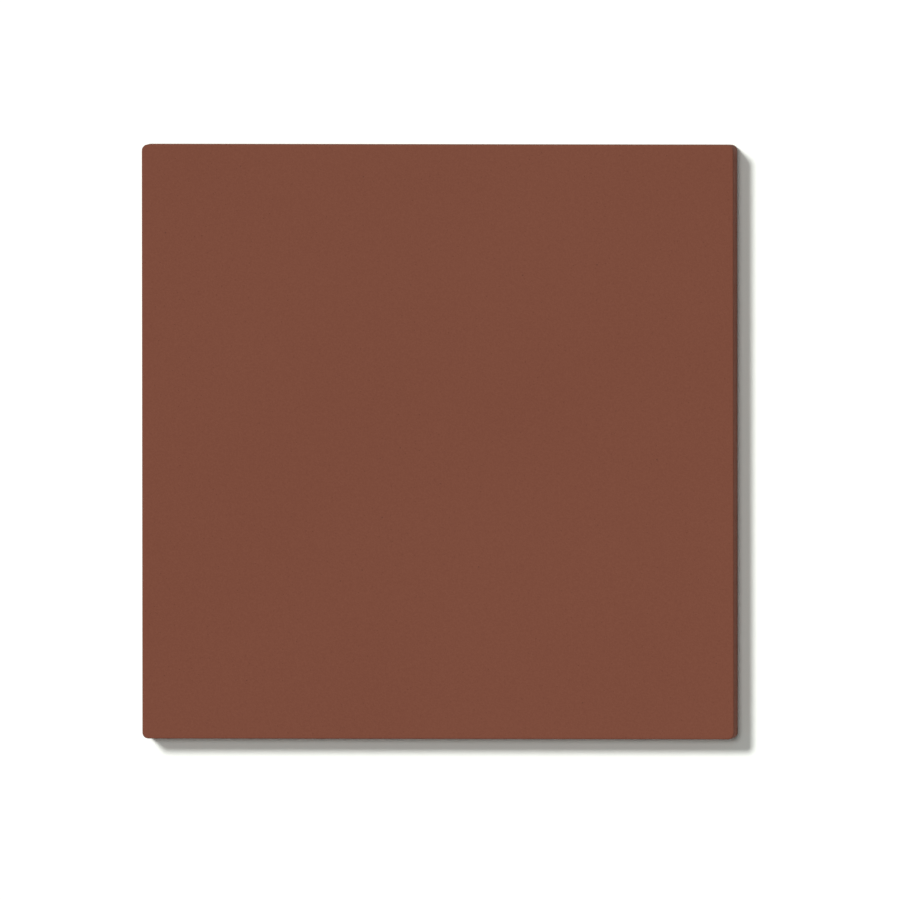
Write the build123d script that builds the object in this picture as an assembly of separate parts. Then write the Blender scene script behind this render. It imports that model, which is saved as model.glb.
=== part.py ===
from build123d import *
import os

# Unglazed clinker floor tile, dry-pressed in one piece and fired until it is vitrified through.
# It lies flat, wearing face up. The origin is on the plane that it rests on, under its centre.
# X and Y run along its sides, and Z points up out of the wearing face.
# Lengths are in millimetres and angles in degrees.

# The slab
tile_side = 150.0  # work size of the 15 x 15 cm format
tile_thickness = 12.0  # from the crest of the back ribs to the wearing face
corner_radius = 1.5  # of the four upright corners, which keeps them from chipping
arris_radius = 0.3  # where the wearing face rolls over into the wall

# The drafted foot: below its belt the wall leans in, so that the die lets go of the tile
belt_height = 4.0  # from the bed up to where the wall becomes upright
foot_inset = 0.15  # how far the wall has leaned in by the time it reaches the bed
bed_edge_radius = 0.3  # soft edge that the press leaves between wall and bed

# The waffle back: square pockets between crossing ribs, which the mortar fills and grips
pockets_per_side = 12  # an even number puts a crossing of two ribs on the centre
border_width = 5.0  # plain frame between the tile's outline and the first pocket
rib_width = 2.2  # at the crest, between two pockets
pocket_depth = 1.2
pocket_draft = 35.0  # lean of a pocket's walls, so that the punch pulls out of the clay

# Worked out from the dimensions above
pocket_side = (tile_side - 2 * border_width - (pockets_per_side - 1) * rib_width) / pockets_per_side
pocket_pitch = pocket_side + rib_width


def square_section(inset, height):
    """Outline of the slab, drawn in by inset all round, on the level plane at height."""
    side = tile_side - 2 * inset
    return Plane.XY.offset(height) * RectangleRounded(side, side, corner_radius - inset)


def pressed_slab():
    """Plain slab: drafted foot, upright wall and rolled arris."""
    foot = loft([square_section(foot_inset, 0), square_section(0, belt_height)], ruled=True)
    wall = extrude(square_section(0, belt_height), tile_thickness - belt_height)
    slab = foot + wall
    slab = fillet(slab.faces().sort_by(Axis.Z)[-1].edges(), arris_radius)
    return fillet(slab.faces().sort_by(Axis.Z)[0].edges(), bed_edge_radius)


def mortar_pocket():
    """What one pocket takes out of the bed: a shallow square, smaller at its floor."""
    return extrude(Rectangle(pocket_side, pocket_side), pocket_depth, taper=pocket_draft)


def clinker_tile():
    """The slab with a square field of pockets pressed into its bed."""
    pocket = mortar_pocket()
    field = GridLocations(pocket_pitch, pocket_pitch, pockets_per_side, pockets_per_side)
    return pressed_slab() - [place * pocket for place in field]


os.makedirs("parts", exist_ok=True)
export_step(clinker_tile(), "parts/clinker_tile.step")
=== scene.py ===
import math

import bmesh
import bpy
from mathutils import Matrix, Vector


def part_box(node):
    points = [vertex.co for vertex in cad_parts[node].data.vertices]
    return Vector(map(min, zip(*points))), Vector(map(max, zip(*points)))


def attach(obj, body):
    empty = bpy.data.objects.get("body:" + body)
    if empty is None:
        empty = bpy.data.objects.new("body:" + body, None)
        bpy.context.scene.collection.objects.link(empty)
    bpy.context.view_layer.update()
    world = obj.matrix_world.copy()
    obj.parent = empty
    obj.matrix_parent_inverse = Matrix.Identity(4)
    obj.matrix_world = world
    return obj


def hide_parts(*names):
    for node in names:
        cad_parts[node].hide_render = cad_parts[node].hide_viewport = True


# Square unglazed clinker floor tile, lying on white with its wearing face up.
# Everything is in metres, in the frame's own axes.

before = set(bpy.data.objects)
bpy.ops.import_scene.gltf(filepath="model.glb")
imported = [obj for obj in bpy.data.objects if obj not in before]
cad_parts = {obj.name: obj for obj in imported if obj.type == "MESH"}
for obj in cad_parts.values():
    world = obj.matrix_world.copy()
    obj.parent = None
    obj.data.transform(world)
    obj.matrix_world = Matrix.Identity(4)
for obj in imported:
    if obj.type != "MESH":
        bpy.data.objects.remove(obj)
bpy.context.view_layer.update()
mm = 0.001
lowCorner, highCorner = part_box("clinker_tile")


def addNode(tree, kind, inputs=None, **settings):
    # inputs: socket name or number, and the value it holds or the node or output that feeds it,
    # with a list of nodes for a socket that takes several
    node = tree.nodes.new(kind)
    for name, value in settings.items():
        setattr(node, name, value)
    for socket, value in (inputs or {}).items():
        for source in value if isinstance(value, list) else [value]:
            if isinstance(source, bpy.types.Node):
                source = source.outputs[0]
            if isinstance(source, bpy.types.NodeSocket):
                tree.links.new(source, node.inputs[socket])
            else:
                node.inputs[socket].default_value = source
    return node


def linearColour(hexColour):
    channels = [int(hexColour[i:i + 2], 16) / 255 for i in (1, 3, 5)]
    linear = [c / 12.92 if c <= 0.04045 else ((c + 0.055) / 1.055) ** 2.4 for c in channels]
    return (*linear, 1.0)


# The tile

tile = {
    "Side": highCorner.x - lowCorner.x,
    "Thickness": highCorner.z,
    "Corner Radius": 1.5 * mm,  # of the four upright corners
    "Corner Steps": 12,
    "Arris Radius": 0.3 * mm,  # where the wearing face rolls over into the wall
    "Belt Height": 4.0 * mm,  # below it the wall leans in
    "Foot Inset": 0.15 * mm,
    "Bed Edge Radius": 0.3 * mm,
    "Edge Steps": 4,  # mesh faces round the arris and round the bed's edge
    "Face Lap": 0.8 * mm,  # how far the rim's mesh reaches in over the face
    "Bed Lap": 1.2 * mm,  # and under the bed
    "Rim Step": 0.5 * mm,  # mesh spacing along the rim
    "Nick Depth": 0.06 * mm,  # deepest that handling has worn the arris and the bed's edge
    "Nick Length": 2.5 * mm,
    "Nick Onset": 0.5,  # noise level at which a nick starts
    "Nick Full": 0.75,  # and at which it is deepest
    "Face Cells": 48,
    "Face Edge": 2.5 * mm,  # from the outline to the face's own grid
    "Face Dip": 0.03 * mm,  # the pressed face is flat to within this
    "Dip Width": 45.0 * mm,
    "Pocket Rows": 12,
    "Border Width": 5.0 * mm,
    "Rib Width": 2.2 * mm,
    "Pocket Depth": 1.2 * mm,
    "Pocket Draft": math.radians(35),
    "Pocket Corner": 1.2 * mm,
    "Pocket Corner Steps": 3,
    "Pocket Softness": 0.3 * mm,  # radius at the crest of a rib and at a pocket's floor
    "Pocket Steps": 2,
    "Level Tolerance": 0.01 * mm,
    "Weld Distance": 0.005 * mm,
    "Seed": 7,
}


def sweepSection(tree, path, corners, steps):
    # a section carried round a closed path, where a corner says how far in from the path it is,
    # how high, and the radius that rounds it
    number = addNode(tree, "GeometryNodeInputIndex")
    places = addNode(tree, "GeometryNodeIndexSwitch", {"Index": number}, data_type="VECTOR")
    rounding = addNode(tree, "GeometryNodeIndexSwitch", {"Index": number}, data_type="FLOAT")
    for extra in corners[2:]:
        places.index_switch_items.new()
        rounding.index_switch_items.new()
    for i, (inward, up, radius) in enumerate(corners):
        place = addNode(tree, "ShaderNodeCombineXYZ", {"X": inward, "Y": up})
        tree.links.new(place.outputs[0], places.inputs[i + 1])
        if radius is not None:
            tree.links.new(radius, rounding.inputs[i + 1])
    # the path carries X of a section outwards and Y down
    turned = addNode(tree, "ShaderNodeVectorMath", {0: places, "Scale": -1.0}, operation="SCALE")
    dots = addNode(tree, "GeometryNodeMeshLine", {"Count": len(corners)})
    bent = addNode(tree, "GeometryNodeSetPosition", {"Geometry": dots, "Position": turned})
    line = addNode(tree, "GeometryNodeMeshToCurve", {"Mesh": bent})
    section = addNode(tree, "GeometryNodeFilletCurve", {
        "Curve": line, "Count": steps, "Radius": rounding,
    }, mode="POLY")
    upright = addNode(tree, "GeometryNodeSetCurveNormal", {"Curve": path}, mode="Z_UP")
    return addNode(tree, "GeometryNodeCurveToMesh", {"Curve": upright, "Profile Curve": section})


def closeLevel(tree, given, mesh, level):
    # fills what is open at one height, round any openings inside it
    edges = addNode(tree, "GeometryNodeInputMeshEdgeNeighbors")
    isOpen = addNode(tree, "FunctionNodeCompare", {2: edges, 3: 1}, data_type="INT", operation="EQUAL")
    place = addNode(tree, "GeometryNodeInputPosition")
    height = addNode(tree, "ShaderNodeSeparateXYZ", {0: place}).outputs["Z"]
    isHere = addNode(tree, "FunctionNodeCompare", {
        "A": height, "B": level, "Epsilon": given["Level Tolerance"],
    }, operation="EQUAL")
    both = addNode(tree, "FunctionNodeBooleanMath", {0: isOpen, 1: isHere})
    loops = addNode(tree, "GeometryNodeMeshToCurve", {"Mesh": mesh, "Selection": both})
    sheet = addNode(tree, "GeometryNodeFillCurve", {"Curve": loops})
    lift = addNode(tree, "ShaderNodeCombineXYZ", {"Z": level})
    return addNode(tree, "GeometryNodeTransform", {"Geometry": sheet, "Translation": lift})


def sweepRim(tree, given):
    # from just inside the face, over the arris, down the wall and foot, to just inside the bed
    square = addNode(tree, "GeometryNodeCurvePrimitiveQuadrilateral", {
        "Width": given["Side"], "Height": given["Side"],
    })
    outline = addNode(tree, "GeometryNodeFilletCurve", {
        "Curve": square, "Count": given["Corner Steps"], "Radius": given["Corner Radius"],
    }, mode="POLY")
    path = addNode(tree, "GeometryNodeResampleCurve", {
        "Curve": outline, "Length": given["Rim Step"],
    }, mode="LENGTH")
    return sweepSection(tree, path, [
        (given["Face Lap"], given["Thickness"], None),
        (0.0, given["Thickness"], given["Arris Radius"]),
        (0.0, given["Belt Height"], given["Foot Inset"]),
        (given["Foot Inset"], 0.0, given["Bed Edge Radius"]),
        (given["Bed Lap"], 0.0, None),
    ], given["Edge Steps"])


def nickEdges(tree, given, rim):
    # noise that eats a little off the middle of the arris and of the bed's edge
    place = addNode(tree, "GeometryNodeInputPosition")
    height = addNode(tree, "ShaderNodeSeparateXYZ", {0: place}).outputs["Z"]
    arrisStart = addNode(tree, "ShaderNodeMath", {
        0: given["Thickness"], 1: given["Arris Radius"],
    }, operation="SUBTRACT")
    overArris = addNode(tree, "ShaderNodeMapRange", {
        "Value": height, "From Min": arrisStart, "From Max": given["Thickness"], "To Max": math.pi,
    })
    overBedEdge = addNode(tree, "ShaderNodeMapRange", {
        "Value": height, "From Min": 0.0, "From Max": given["Bed Edge Radius"], "To Max": math.pi,
    })
    onArris = addNode(tree, "ShaderNodeMath", {0: overArris}, operation="SINE")
    onBedEdge = addNode(tree, "ShaderNodeMath", {0: overBedEdge}, operation="SINE")
    nearEdge = addNode(tree, "ShaderNodeMath", {0: onArris, 1: onBedEdge}, operation="ADD")
    density = addNode(tree, "ShaderNodeMath", {0: 1.0, 1: given["Nick Length"]}, operation="DIVIDE")
    patches = addNode(tree, "ShaderNodeTexNoise", {
        "Vector": place, "W": given["Seed"], "Scale": density, "Detail": 3.0,
    }, noise_dimensions="4D")
    worn = addNode(tree, "ShaderNodeMapRange", {
        "Value": patches, "From Min": given["Nick Onset"], "From Max": given["Nick Full"],
    })
    wear = addNode(tree, "ShaderNodeMath", {0: nearEdge, 1: worn}, operation="MULTIPLY")
    depth = addNode(tree, "ShaderNodeMath", {0: wear, 1: given["Nick Depth"]}, operation="MULTIPLY")
    normal = addNode(tree, "GeometryNodeInputNormal")
    bite = addNode(tree, "ShaderNodeVectorMath", {0: normal, "Scale": depth}, operation="SCALE")
    eaten = addNode(tree, "ShaderNodeVectorMath", {0: place, 1: bite}, operation="SUBTRACT")
    marked = addNode(tree, "GeometryNodeStoreNamedAttribute", {
        "Geometry": rim, "Name": "wear", "Value": wear,
    }, data_type="FLOAT", domain="POINT")
    return addNode(tree, "GeometryNodeSetPosition", {"Geometry": marked, "Position": eaten})


def pressFace(tree, given):
    # a grid that dips here and there by a few hundredths, but not at its edge
    side = addNode(tree, "ShaderNodeMath", {
        0: given["Face Edge"], 1: -2.0, 2: given["Side"],
    }, operation="MULTIPLY_ADD")
    across = addNode(tree, "ShaderNodeMath", {0: given["Face Cells"], 1: 1.0}, operation="ADD")
    grid = addNode(tree, "GeometryNodeMeshGrid", {
        "Size X": side, "Size Y": side, "Vertices X": across, "Vertices Y": across,
    })
    lift = addNode(tree, "ShaderNodeCombineXYZ", {"Z": given["Thickness"]})
    face = addNode(tree, "GeometryNodeTransform", {"Geometry": grid, "Translation": lift})
    place = addNode(tree, "GeometryNodeInputPosition")
    density = addNode(tree, "ShaderNodeMath", {0: 1.0, 1: given["Dip Width"]}, operation="DIVIDE")
    swell = addNode(tree, "ShaderNodeTexNoise", {
        "Vector": place, "W": given["Seed"], "Scale": density, "Detail": 1.0,
    }, noise_dimensions="4D")
    dip = addNode(tree, "ShaderNodeMath", {0: swell, 1: given["Face Dip"]}, operation="MULTIPLY")
    down = addNode(tree, "ShaderNodeCombineXYZ", {"Z": dip})
    sunk = addNode(tree, "ShaderNodeVectorMath", {0: place, 1: down}, operation="SUBTRACT")
    neighbours = addNode(tree, "GeometryNodeInputMeshVertexNeighbors")
    isInside = addNode(tree, "FunctionNodeCompare", {
        2: neighbours, 3: 4,
    }, data_type="INT", operation="EQUAL")
    return addNode(tree, "GeometryNodeSetPosition", {
        "Geometry": face, "Selection": isInside, "Position": sunk,
    })


def stampPocket(tree, given, side):
    # one pocket of the back: a soft crest, a leaning wall and a floor
    mouth = addNode(tree, "GeometryNodeCurvePrimitiveQuadrilateral", {"Width": side, "Height": side})
    softMouth = addNode(tree, "GeometryNodeFilletCurve", {
        "Curve": mouth, "Count": given["Pocket Corner Steps"], "Radius": given["Pocket Corner"],
    }, mode="POLY")
    slope = addNode(tree, "ShaderNodeMath", {0: given["Pocket Draft"]}, operation="TANGENT")
    lean = addNode(tree, "ShaderNodeMath", {0: slope, 1: given["Pocket Depth"]}, operation="MULTIPLY")
    softness = given["Pocket Softness"]
    crest = addNode(tree, "ShaderNodeMath", {0: softness, 1: -1.0}, operation="MULTIPLY")
    floor = addNode(tree, "ShaderNodeMath", {0: lean, 1: softness}, operation="ADD")
    wall = sweepSection(tree, softMouth, [
        (crest, 0.0, None),
        (0.0, 0.0, softness),
        (lean, given["Pocket Depth"], softness),
        (floor, given["Pocket Depth"], None),
    ], given["Pocket Steps"])
    ceiling = closeLevel(tree, given, wall, given["Pocket Depth"])
    return addNode(tree, "GeometryNodeJoinGeometry", {"Geometry": [wall, ceiling]})


def pocketField(tree, given):
    # pockets in rows and columns, with ribs between them and a plain border round them
    rows, rib = given["Pocket Rows"], given["Rib Width"]
    field = addNode(tree, "ShaderNodeMath", {
        0: given["Border Width"], 1: -2.0, 2: given["Side"],
    }, operation="MULTIPLY_ADD")
    fieldAndRib = addNode(tree, "ShaderNodeMath", {0: field, 1: rib}, operation="ADD")
    pitch = addNode(tree, "ShaderNodeMath", {0: fieldAndRib, 1: rows}, operation="DIVIDE")
    side = addNode(tree, "ShaderNodeMath", {0: pitch, 1: rib}, operation="SUBTRACT")
    spread = addNode(tree, "ShaderNodeMath", {0: field, 1: side}, operation="SUBTRACT")
    spots = addNode(tree, "GeometryNodeMeshGrid", {
        "Size X": spread, "Size Y": spread, "Vertices X": rows, "Vertices Y": rows,
    })
    pockets = addNode(tree, "GeometryNodeInstanceOnPoints", {
        "Points": spots, "Instance": stampPocket(tree, given, side),
    })
    return addNode(tree, "GeometryNodeRealizeInstances", {"Geometry": pockets})


def buildTileTree():
    tree = bpy.data.node_groups.new("pressedTile", "GeometryNodeTree")
    for label, value in tile.items():
        kind = "NodeSocketInt" if isinstance(value, int) else "NodeSocketFloat"
        tree.interface.new_socket(label, in_out="INPUT", socket_type=kind)
    tree.interface.new_socket("Material", in_out="INPUT", socket_type="NodeSocketMaterial")
    tree.interface.new_socket("Geometry", in_out="OUTPUT", socket_type="NodeSocketGeometry")
    given = addNode(tree, "NodeGroupInput").outputs

    rim = nickEdges(tree, given, sweepRim(tree, given))
    shell = addNode(tree, "GeometryNodeJoinGeometry", {
        "Geometry": [rim, pressFace(tree, given), pocketField(tree, given)],
    })
    # what is still open round the face and between the pockets is flat, and is filled in one go each
    overFace = closeLevel(tree, given, shell, given["Thickness"])
    underBed = closeLevel(tree, given, shell, 0.0)
    whole = addNode(tree, "GeometryNodeJoinGeometry", {"Geometry": [shell, overFace, underBed]})
    sealed = addNode(tree, "GeometryNodeMergeByDistance", {
        "Geometry": whole, "Distance": given["Weld Distance"],
    })
    smooth = addNode(tree, "GeometryNodeSetShadeSmooth", {"Geometry": sealed})
    solid = addNode(tree, "GeometryNodeRealizeInstances", {"Geometry": smooth})
    fired = addNode(tree, "GeometryNodeSetMaterial", {"Geometry": solid, "Material": given["Material"]})
    addNode(tree, "NodeGroupOutput", {"Geometry": fired})
    return tree


def growMesh(name, tree, values):
    # runs the tree once and keeps its result as a plain closed mesh
    holder = bpy.data.objects.new(name + "_source", bpy.data.meshes.new(name + "_source"))
    bpy.context.scene.collection.objects.link(holder)
    grow = holder.modifiers.new("grow", "NODES")
    grow.node_group = tree
    for item in tree.interface.items_tree:
        if item.in_out == "INPUT" and item.name in values:
            grow[item.identifier] = values[item.name]
    evaluated = holder.evaluated_get(bpy.context.evaluated_depsgraph_get())
    mesh = bpy.data.meshes.new_from_object(evaluated)
    bpy.data.objects.remove(holder)
    shape = bmesh.new()
    shape.from_mesh(mesh)
    bmesh.ops.recalc_face_normals(shape, faces=shape.faces)
    openEdges = sum(1 for edge in shape.edges if not edge.is_manifold)
    shape.to_mesh(mesh)
    shape.free()
    mesh.name = name
    piece = bpy.data.objects.new(name, mesh)
    bpy.context.scene.collection.objects.link(piece)
    mesh.calc_loop_triangles()
    print(f"{name}: {len(mesh.loop_triangles)} triangles, {openEdges} open edges")
    return piece


# The clay

clay = {
    "dark": "#734232",  # iron-rich stoneware clay, fired red-brown, between these two
    "light": "#7F4E3D",
    "grainSize": 0.45 * mm,
    "grainDepth": 0.035 * mm,
    "grainContrast": 1.6,  # how far the grain carries the colour towards either end
    "cloudSize": 60.0 * mm,
    "cloudContrast": 0.35,
    "ironSpeck": "#4F3027",
    "speckSpacing": 5.0 * mm,
    "speckSize": 0.45 * mm,
    "speckShare": 0.35,  # of the places where one could be
    "speckStrength": 0.6,
    "pore": "#5B3427",  # painted shade inside a pore, as its own rim would cast it
    "poreSpacing": 1.2 * mm,
    "poreSize": 0.25 * mm,
    "poreShare": 0.7,
    "poreShadeStrength": 0.5,
    "poreDepth": 0.05 * mm,
    "freshEdge": "#8A5542",  # where handling or the die has opened the fired skin
    "wearStrength": 0.6,
    "dragWidth": 0.4 * mm,  # upright marks that the die leaves as the tile is pushed out
    "dragLength": 8.0 * mm,
    "dragDepth": 0.03 * mm,
    "dragOnset": 0.4,  # noise level at which a mark starts to show
    "dragFull": 0.75,
    "dragStrength": 0.35,
    "wallBlend": 0.4 * mm,  # over which the wall's marks fade out under the bed
    "partingWash": "#A98F80",  # the chalky wash that keeps a tile off the kiln's rollers, whose colour also carries the painted light on the wall's foot
    "washPatch": 4.0 * mm,
    "washOnset": 0.35,  # noise level up to which the wash is at its thinnest
    "washFull": 0.6,
    "washThinnest": 0.15,
    "washThickest": 0.8,
    "washAndLightClimb": 4.0 * mm,  # the highest that the smear reaches up the wall from the bed, partly wash and partly painted light from the floor
    "footSmearAndLightShare": 0.45,  # of the wash on the crests, for the foot's smear of wash and painted light
    "grainLow": 0.3,  # the grain's noise seldom leaves these two
    "grainHigh": 0.7,
    "smoothest": 0.74,  # roughness, from the pressed skin to the dry wash
    "roughest": 0.86,
    "washRoughness": 0.95,
    "ior": 1.54,
    "specular": 0.1,  # an open-pored skin gives back less than polished stoneware does
}


def dots(tree, place, spacing, size, share):
    # round dots up to the given size across, in a share of the cells that are one spacing wide
    cells = addNode(tree, "ShaderNodeTexVoronoi", {"Vector": place, "Scale": 1 / spacing})
    chance = addNode(tree, "ShaderNodeSeparateColor", {0: cells.outputs["Color"]})
    chosen = addNode(tree, "ShaderNodeMath", {0: chance, 1: share}, operation="LESS_THAN")
    reach = size / 2 / spacing
    dot = addNode(tree, "ShaderNodeMapRange", {
        "Value": cells.outputs["Distance"], "From Min": reach, "From Max": reach / 2,
    })
    return addNode(tree, "ShaderNodeMath", {0: dot, 1: chosen}, operation="MULTIPLY")


def pressedClay(tree, place):
    # grain of the pressed granules, under slow clouds from the kiln
    grain = addNode(tree, "ShaderNodeTexNoise", {
        "Vector": place, "Scale": 1 / clay["grainSize"], "Detail": 4.0, "Roughness": 0.6,
    })
    cloud = addNode(tree, "ShaderNodeTexNoise", {
        "Vector": place, "Scale": 1 / clay["cloudSize"], "Detail": 2.0,
    })
    fine = addNode(tree, "ShaderNodeMapRange", {
        "Value": grain, "To Min": -clay["grainContrast"] / 2, "To Max": clay["grainContrast"] / 2,
    })
    slow = addNode(tree, "ShaderNodeMapRange", {
        "Value": cloud, "To Min": -clay["cloudContrast"] / 2, "To Max": clay["cloudContrast"] / 2,
    })
    swing = addNode(tree, "ShaderNodeMath", {0: fine, 1: slow}, operation="ADD")
    tone = addNode(tree, "ShaderNodeMath", {0: swing, 1: 0.5}, operation="ADD")
    colour = addNode(tree, "ShaderNodeMix", {
        "Factor": tone, 6: linearColour(clay["dark"]), 7: linearColour(clay["light"]),
    }, data_type="RGBA").outputs[2]
    return colour, grain


def ironSpecksAndPoreShade(tree, place, colour):
    # a few specks of iron, and open pores with painted shade in them, which only show close up
    speck = dots(tree, place, clay["speckSpacing"], clay["speckSize"], clay["speckShare"])
    rust = addNode(tree, "ShaderNodeMath", {0: speck, 1: clay["speckStrength"]}, operation="MULTIPLY")
    colour = addNode(tree, "ShaderNodeMix", {
        "Factor": rust, 6: colour, 7: linearColour(clay["ironSpeck"]),
    }, data_type="RGBA").outputs[2]
    # painted shade: each pore is darkened as its rim would shade it, and the same dots also sink the
    # surface
    pore = dots(tree, place, clay["poreSpacing"], clay["poreSize"], clay["poreShare"])
    shade = addNode(tree, "ShaderNodeMath", {0: pore, 1: clay["poreShadeStrength"]}, operation="MULTIPLY")
    colour = addNode(tree, "ShaderNodeMix", {
        "Factor": shade, 6: colour, 7: linearColour(clay["pore"]),
    }, data_type="RGBA").outputs[2]
    return colour, pore


def wornEdges(tree, colour):
    # lighter where the mesh is nicked, from the attribute that it carries
    wear = addNode(tree, "ShaderNodeAttribute", attribute_name="wear").outputs["Fac"]
    bare = addNode(tree, "ShaderNodeMath", {0: wear, 1: clay["wearStrength"]}, operation="MULTIPLY")
    return addNode(tree, "ShaderNodeMix", {
        "Factor": bare, 6: colour, 7: linearColour(clay["freshEdge"]),
    }, data_type="RGBA").outputs[2]


def onTheWall(tree, place):
    # 1 close to the outline, which leaves out the pockets
    outwards = addNode(tree, "ShaderNodeVectorMath", {0: place}, operation="ABSOLUTE")
    across = addNode(tree, "ShaderNodeSeparateXYZ", {0: outwards})
    fromCentre = addNode(tree, "ShaderNodeMath", {
        0: across.outputs["X"], 1: across.outputs["Y"],
    }, operation="MAXIMUM")
    wallStart = tile["Side"] / 2 - 2 * tile["Arris Radius"]
    return addNode(tree, "ShaderNodeMapRange", {
        "Value": fromCentre, "From Min": wallStart - clay["wallBlend"], "From Max": wallStart,
    })


def dragMarks(tree, place, height, onWall, colour):
    # upright on the wall, and fading out at the arris
    stretched = addNode(tree, "ShaderNodeMapping", {
        "Vector": place,
        "Scale": (1 / clay["dragWidth"], 1 / clay["dragWidth"], 1 / clay["dragLength"]),
    }, vector_type="POINT")
    drag = addNode(tree, "ShaderNodeTexNoise", {"Vector": stretched, "Scale": 1.0, "Detail": 3.0})
    belowFace = addNode(tree, "ShaderNodeMapRange", {
        "Value": height,
        "From Min": tile["Thickness"] - tile["Arris Radius"] / 2,
        "From Max": tile["Thickness"] - 2 * tile["Arris Radius"],
    })
    dragged = addNode(tree, "ShaderNodeMath", {0: belowFace, 1: onWall}, operation="MULTIPLY")
    opened = addNode(tree, "ShaderNodeMapRange", {
        "Value": drag, "From Min": clay["dragOnset"], "From Max": clay["dragFull"],
        "To Max": clay["dragStrength"],
    })
    streak = addNode(tree, "ShaderNodeMath", {0: dragged, 1: opened}, operation="MULTIPLY")
    colour = addNode(tree, "ShaderNodeMix", {
        "Factor": streak, 6: colour, 7: linearColour(clay["freshEdge"]),
    }, data_type="RGBA").outputs[2]
    groove = addNode(tree, "ShaderNodeMath", {0: drag, 1: dragged}, operation="MULTIPLY")
    return colour, groove


def chalkyWashAndFootLight(tree, place, height, onWall, colour):
    # on the crests of the back's ribs, and up the foot of the wall as an uneven pale smear that is
    # partly wash and partly painted light from the white floor
    patch = addNode(tree, "ShaderNodeTexNoise", {
        "Vector": place, "Scale": 1 / clay["washPatch"], "Detail": 6.0, "Roughness": 0.7,
    })
    onCrest = addNode(tree, "ShaderNodeMapRange", {
        "Value": height, "From Min": tile["Bed Edge Radius"], "From Max": 0.0,
    })
    low = addNode(tree, "ShaderNodeMapRange", {
        "Value": height, "From Min": clay["washAndLightClimb"], "From Max": 0.0,
    })
    fade = addNode(tree, "ShaderNodeMath", {0: low, 1: low}, operation="MULTIPLY")
    footSmearAndLight = addNode(tree, "ShaderNodeMath", {0: onWall, 1: clay["footSmearAndLightShare"]}, operation="MULTIPLY")
    # painted light: paler towards the wall's foot, as the floor would light it, mixed with a real smear
    # of wash
    footWashAndLight = addNode(tree, "ShaderNodeMath", {0: footSmearAndLight, 1: fade}, operation="MULTIPLY")
    washed = addNode(tree, "ShaderNodeMath", {0: onCrest, 1: footWashAndLight}, operation="MAXIMUM")
    thickness = addNode(tree, "ShaderNodeMapRange", {
        "Value": patch, "From Min": clay["washOnset"], "From Max": clay["washFull"],
        "To Min": clay["washThinnest"], "To Max": clay["washThickest"],
    })
    wash = addNode(tree, "ShaderNodeMath", {0: washed, 1: thickness}, operation="MULTIPLY")
    colour = addNode(tree, "ShaderNodeMix", {
        "Factor": wash, 6: colour, 7: linearColour(clay["partingWash"]),
    }, data_type="RGBA").outputs[2]
    return colour, wash


def unglazedVitrifiedClinker():
    # dry-pressed stoneware clay, fired to vitrification with no glaze: an even, dense, matt
    # surface whose colour goes right through, with a fine grain and next to no sheen
    material = bpy.data.materials.new("unglazedVitrifiedClinker")
    material.use_nodes = True
    tree = material.node_tree
    tree.nodes.clear()
    place = addNode(tree, "ShaderNodeTexCoord").outputs["Object"]
    height = addNode(tree, "ShaderNodeSeparateXYZ", {0: place}).outputs["Z"]
    onWall = onTheWall(tree, place)

    colour, grain = pressedClay(tree, place)
    colour, pore = ironSpecksAndPoreShade(tree, place, colour)
    colour = wornEdges(tree, colour)
    colour, groove = dragMarks(tree, place, height, onWall, colour)
    colour, wash = chalkyWashAndFootLight(tree, place, height, onWall, colour)

    matt = addNode(tree, "ShaderNodeMapRange", {
        "Value": grain, "From Min": clay["grainLow"], "From Max": clay["grainHigh"],
        "To Min": clay["smoothest"], "To Max": clay["roughest"],
    })
    roughness = addNode(tree, "ShaderNodeMix", {"Factor": wash, "A": matt, "B": clay["washRoughness"]})
    relief = addNode(tree, "ShaderNodeMath", {0: grain, 1: clay["grainDepth"]}, operation="MULTIPLY")
    relief = addNode(tree, "ShaderNodeMath", {
        0: pore, 1: -clay["poreDepth"], 2: relief,
    }, operation="MULTIPLY_ADD")
    relief = addNode(tree, "ShaderNodeMath", {
        0: groove, 1: clay["dragDepth"], 2: relief,
    }, operation="MULTIPLY_ADD")
    bump = addNode(tree, "ShaderNodeBump", {"Height": relief, "Distance": 1.0, "Strength": 1.0})
    surface = addNode(tree, "ShaderNodeBsdfPrincipled", {
        "Base Color": colour, "Roughness": roughness, "IOR": clay["ior"],
        "Specular IOR Level": clay["specular"], "Normal": bump,
    })
    addNode(tree, "ShaderNodeOutputMaterial", {"Surface": surface})
    print(f"{material.name}: {len(tree.nodes)} nodes")
    return material


finish = unglazedVitrifiedClinker()
body = growMesh("clinker_tile_body", buildTileTree(), {**tile, "Material": finish})
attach(body, "root")
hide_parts("clinker_tile")


# The studio

studio = {
    "floorSize": 6.0,
    "floorTint": "#FBFFF9",
    "floorGain": 1.12,  # a little past white, so that the paper beside the tile doesn't turn grey
    "floorBounce": 0.77,  # what the tile gets back from it
    "keyShare": 0.68,  # of the light on a level surface, from the lamp at the upper left
    "keyDirection": (-0.322, 0.323, 1.0),  # from the tile to the lamp
    "keyAngle": math.radians(10.0),
    "overheadShare": 0.2,  # from the soft box over the tile, which gives the dark line at its foot
    "overheadDirection": (-0.026, 0.065, 1.0),
    "overheadAngle": math.radians(9.0),
    "skyShare": 0.12,  # from all round
    "leanRight": math.radians(5.5),  # of the camera, from straight above the tile
    "leanBack": math.radians(1.5),
    "roll": math.radians(-0.06),
    "pictureSide": 900,  # pixels
    "pixelsPerMetre": 3962,
    "aim": (1.94 * mm, -2.34 * mm, 0.0),  # what lies at the middle of the picture
    "cameraDistance": 1.0,
}


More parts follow.
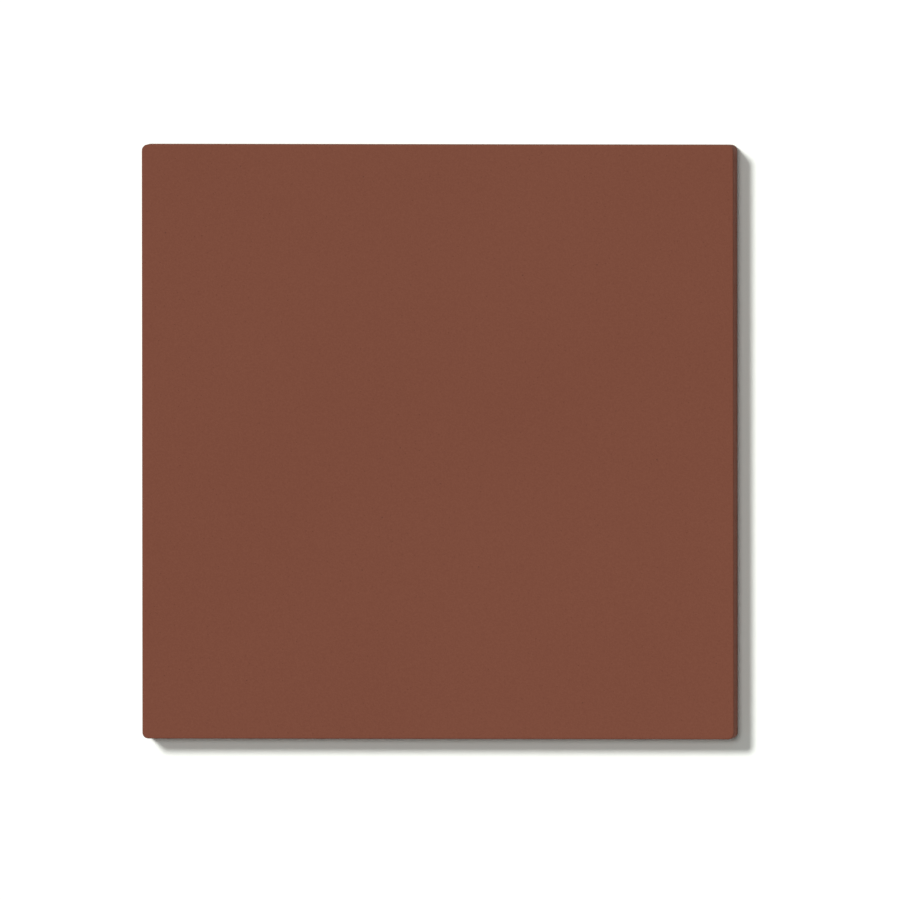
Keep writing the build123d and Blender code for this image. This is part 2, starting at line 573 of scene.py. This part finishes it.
def shownToCamera(tree):
    # 1 for what is seen, straight or in a reflection, and 0 for light on its way
    rays = addNode(tree, "ShaderNodeLightPath")
    either = addNode(tree, "ShaderNodeMath", {
        0: rays.outputs["Is Camera Ray"], 1: rays.outputs["Is Glossy Ray"],
    }, operation="MAXIMUM")
    return addNode(tree, "ShaderNodeMath", {
        0: either, 1: rays.outputs["Is Transmission Ray"],
    }, operation="MAXIMUM")


def whiteSweep():
    # seamless white paper, without a sheen, so that nothing but the shadow shows on it
    material = bpy.data.materials.new("whiteSweep")
    material.use_nodes = True
    tree = material.node_tree
    tree.nodes.clear()
    white = [studio["floorGain"] * channel for channel in linearColour(studio["floorTint"])[:3]]
    bounce = studio["floorBounce"]
    colour = addNode(tree, "ShaderNodeMix", {
        "Factor": shownToCamera(tree), 6: (bounce, bounce, bounce, 1.0), 7: (*white, 1.0),
    }, data_type="RGBA").outputs[2]
    paper = addNode(tree, "ShaderNodeBsdfDiffuse", {"Color": colour})
    addNode(tree, "ShaderNodeOutputMaterial", {"Surface": paper})
    return material


def layFloor():
    half = studio["floorSize"] / 2
    corners = [(-half, -half, 0), (half, -half, 0), (half, half, 0), (-half, half, 0)]
    mesh = bpy.data.meshes.new("floor")
    mesh.from_pydata(corners, [], [(0, 1, 2, 3)])
    mesh.materials.append(whiteSweep())
    floor = bpy.data.objects.new("floor", mesh)
    bpy.context.scene.collection.objects.link(floor)
    print("floor is laid")


def hangLamps():
    for name in ("key", "overhead"):
        towards = Vector(studio[name + "Direction"]).normalized()
        light = bpy.data.lights.new(name, "SUN")
        light.angle = studio[name + "Angle"]
        light.energy = math.pi * studio[name + "Share"] / towards.z
        lamp = bpy.data.objects.new(name, light)
        lamp.rotation_mode = "QUATERNION"
        lamp.rotation_quaternion = towards.to_track_quat("Z", "Y")
        bpy.context.scene.collection.objects.link(lamp)
        print(f"{name} lamp: {light.energy:.2f} W/m2")


def lightSky():
    world = bpy.data.worlds.new("studio")
    world.use_nodes = True
    tree = world.node_tree
    tree.nodes.clear()
    strength = addNode(tree, "ShaderNodeMapRange", {
        "Value": shownToCamera(tree), "To Min": studio["skyShare"], "To Max": 1.0,
    })
    sky = addNode(tree, "ShaderNodeBackground", {"Color": (1, 1, 1, 1), "Strength": strength})
    addNode(tree, "ShaderNodeOutputWorld", {"Surface": sky})
    bpy.context.scene.world = world
    bpy.context.scene.view_settings.view_transform = "Standard"
    print("sky is lit")


def placeCamera():
    # seen from above and a little from the right, in parallel lines as a very long lens gives
    right = Vector((math.cos(studio["leanRight"]), 0, -math.sin(studio["leanRight"])))
    back = Matrix.Rotation(-studio["leanBack"], 3, right) @ right.cross(Vector((0, 1, 0)))
    right.rotate(Matrix.Rotation(studio["roll"], 3, back))
    camera = bpy.data.cameras.new("camera")
    camera.type = "ORTHO"
    camera.ortho_scale = studio["pictureSide"] / studio["pixelsPerMetre"]
    view = bpy.data.objects.new("camera", camera)
    turn = Matrix((right, back.cross(right), back)).transposed().to_4x4()
    place = Vector(studio["aim"]) + back * studio["cameraDistance"]
    view.matrix_world = Matrix.Translation(place) @ turn
    bpy.context.scene.collection.objects.link(view)
    bpy.context.scene.camera = view
    print(f"camera: {camera.ortho_scale / mm:.1f} mm across the picture")


layFloor()
hangLamps()
lightSky()
placeCamera()

bpy.context.view_layer.update()
